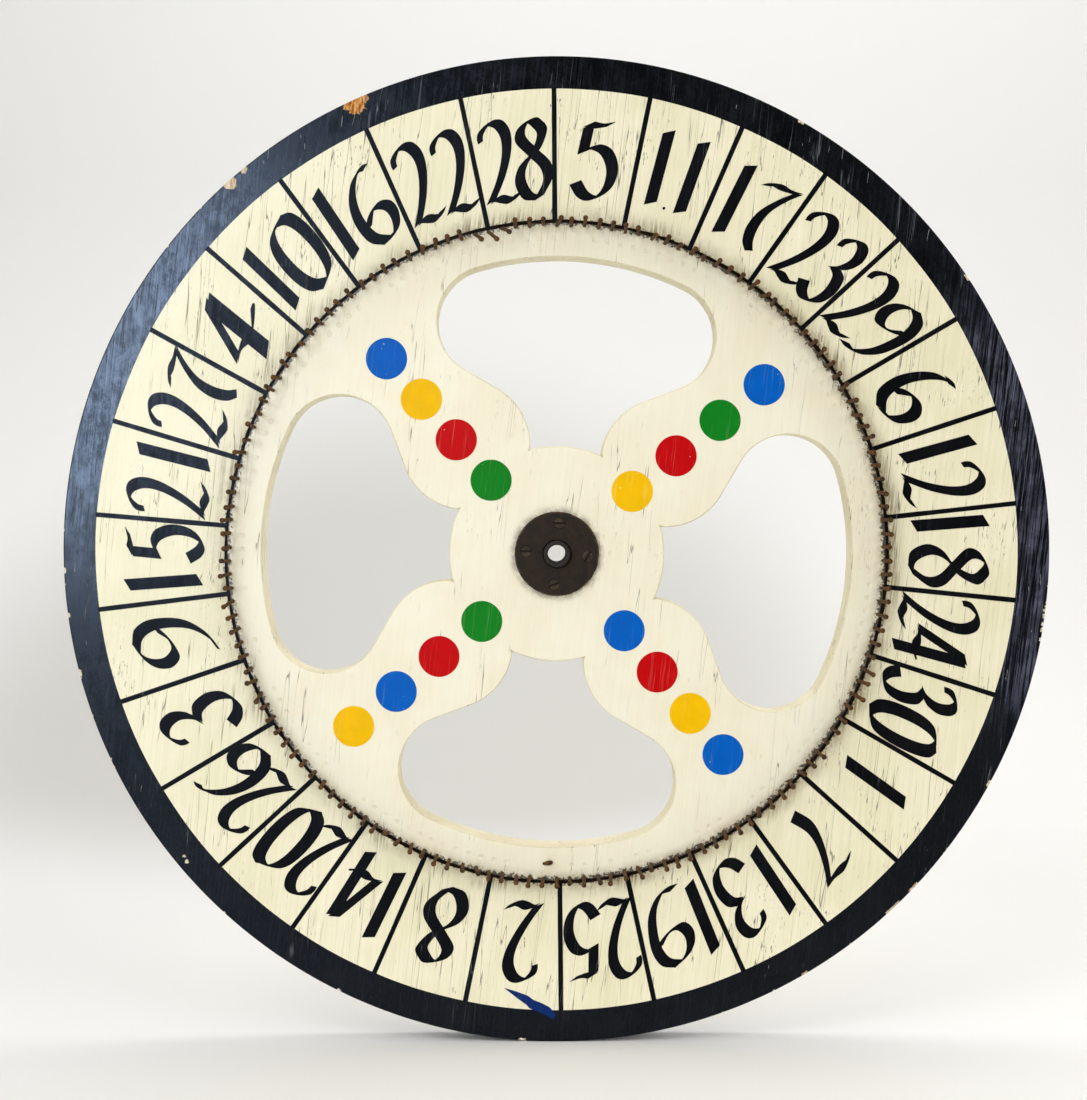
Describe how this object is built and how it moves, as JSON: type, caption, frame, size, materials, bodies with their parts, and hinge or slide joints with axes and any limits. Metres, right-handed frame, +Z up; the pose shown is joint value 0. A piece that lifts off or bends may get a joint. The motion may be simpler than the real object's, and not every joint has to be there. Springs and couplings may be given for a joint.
{
  "type": "game spinner",
  "caption": "Round wooden number wheel with shaped cut-outs, a ring of nails between its sectors and a metal hub that spins on a bored sleeve.",
  "frame": {"origin": "centre of the spindle bore, at the middle of the board's thickness", "axes": "+Z up through the first sector line, +X to the right as seen from the front, and the front faces -Y; +Y runs along the bore to the back"},
  "size_m": [0.6095, 0.0472, 0.6096],
  "materials": {
    "painted_board": "aged cream paint with a black rim, worn",
    "blackened_plate": "blackened steel, worn brown at the edges",
    "bush_bronze": "dull bronze",
    "sleeve_steel": "dark turned steel, oily",
    "screw_steel": "dark tarnished steel",
    "rusty_nail": "brown rust"
  },
  "bodies": {
    "sleeve": {"spindle_sleeve": "sleeve_steel"},
    "wheel": {"wheel_board": "painted_board", "front_plate": "blackened_plate", "back_plate": "blackened_plate", "hub_bush": "bush_bronze", "front_plate_screws": "screw_steel", "back_plate_screws": "screw_steel", "broken_nail": "rusty_nail", "nails_sector_1": "rusty_nail", "nails_sector_2": "rusty_nail", "nails_sector_3": "rusty_nail", "nails_sector_4": "rusty_nail", "nails_sector_5": "rusty_nail", "nails_sector_6": "rusty_nail", "nails_sector_7": "rusty_nail", "nails_sector_8": "rusty_nail", "nails_sector_9": "rusty_nail", "nails_sector_10": "rusty_nail", "nails_sector_11": "rusty_nail", "nails_sector_12": "rusty_nail", "nails_sector_13": "rusty_nail", "nails_sector_14": "rusty_nail", "nails_sector_15": "rusty_nail", "nails_sector_16": "rusty_nail", "nails_sector_17": "rusty_nail", "nails_sector_18": "rusty_nail", "nails_sector_19": "rusty_nail", "nails_sector_20": "rusty_nail", "nails_sector_21": "rusty_nail", "nails_sector_22": "rusty_nail", "nails_sector_23": "rusty_nail", "nails_sector_24": "rusty_nail", "nails_sector_25": "rusty_nail", "nails_sector_26": "rusty_nail", "nails_sector_27": "rusty_nail", "nails_sector_28": "rusty_nail", "nails_sector_29": "rusty_nail", "nails_sector_30": "rusty_nail"}
  },
  "joints": [
    {"name": "wheel_spin", "type": "hinge", "parent": "sleeve", "child": "wheel", "pos_m": [0, 0, 0], "axis": [0, 1, 0], "continuous": true}
  ]
}
